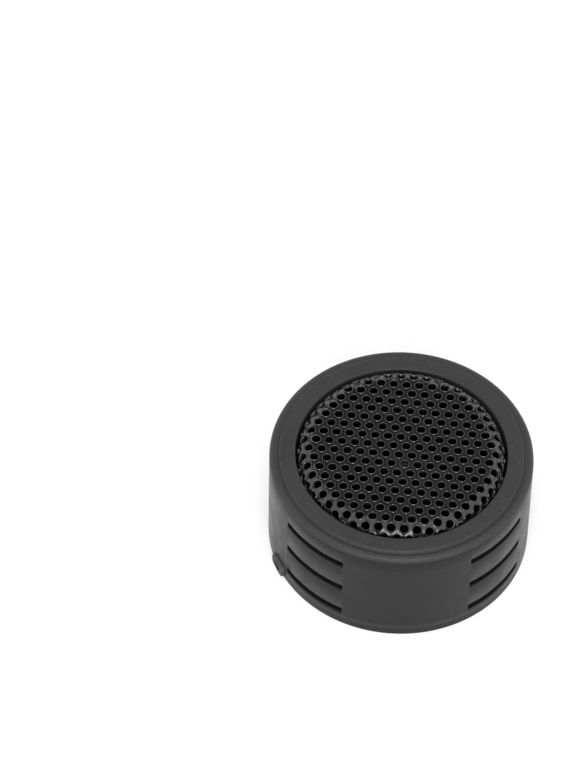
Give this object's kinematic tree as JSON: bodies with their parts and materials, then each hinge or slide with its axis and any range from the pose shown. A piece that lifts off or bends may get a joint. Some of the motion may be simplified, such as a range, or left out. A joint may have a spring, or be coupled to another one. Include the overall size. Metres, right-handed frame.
{
  "type": "car tweeter",
  "caption": "Round surface-mount dome tweeter with a perforated metal grille, a moulded bezel and a slotted drum housing.",
  "frame": {"origin": "centre of the underside, on the surface the tweeter stands on", "axes": "+Z out through the grille along the dome's axis; the plain wall between two slot groups faces -Y"},
  "size_m": [0.048, 0.048, 0.0242],
  "materials": {
    "moulded_plastic": "fine satin texture, charcoal black",
    "coated_steel": "satin black powder coat",
    "foam_tape": "closed-cell foam",
    "grommet_rubber": "matt",
    "screw_steel": "black zinc",
    "driver_plastic": "matt black",
    "plated_steel": "zinc plated",
    "nickel_magnet": "nickel plated",
    "felt": "pressed felt",
    "fibre_board": "paper and phenolic resin",
    "coated_cloth": "coated weave",
    "dome_film": "satin polymer film",
    "former_film": "amber polyimide film",
    "copper_wire": "enamelled copper",
    "tinned_brass": "tinned",
    "capacitor_sleeve": "shrunk sleeve",
    "red_wire": "insulation",
    "black_wire": "insulation"
  },
  "bodies": {
    "can": {"housing": "moulded_plastic", "front_bezel": "moulded_plastic", "grille": "coated_steel", "rear_cover": "moulded_plastic", "mounting_pad": "foam_tape", "cable_grommet": "grommet_rubber", "cover_screws": "screw_steel", "driver_gasket": "foam_tape", "driver_faceplate": "driver_plastic", "driver_screws": "screw_steel", "yoke_cup": "plated_steel", "magnet": "nickel_magnet", "pole_plate": "plated_steel", "damping_felt": "felt", "diaphragm_spacer": "fibre_board", "surround": "coated_cloth", "terminal_board": "fibre_board", "terminal_positive": "tinned_brass", "terminal_negative": "tinned_brass", "tag_rivets": "tinned_brass", "lead_out_positive": "copper_wire", "lead_out_negative": "copper_wire", "capacitor": "capacitor_sleeve", "capacitor_leads": "tinned_brass", "capacitor_pad": "foam_tape", "supply_wire_positive": "red_wire", "tag_wire_positive": "red_wire", "supply_wire_negative": "black_wire"},
    "diaphragm": {"dome": "dome_film", "voice_coil_former": "former_film", "voice_coil": "copper_wire"}
  },
  "joints": [
    {"name": "dome_travel", "type": "slide", "parent": "can", "child": "diaphragm", "axis": [0, 0, 1], "range_m": [-0.0004, 0.0004], "stiffness_N_per_m": 500, "deforming": ["surround", "lead_out_positive", "lead_out_negative"]}
  ]
}
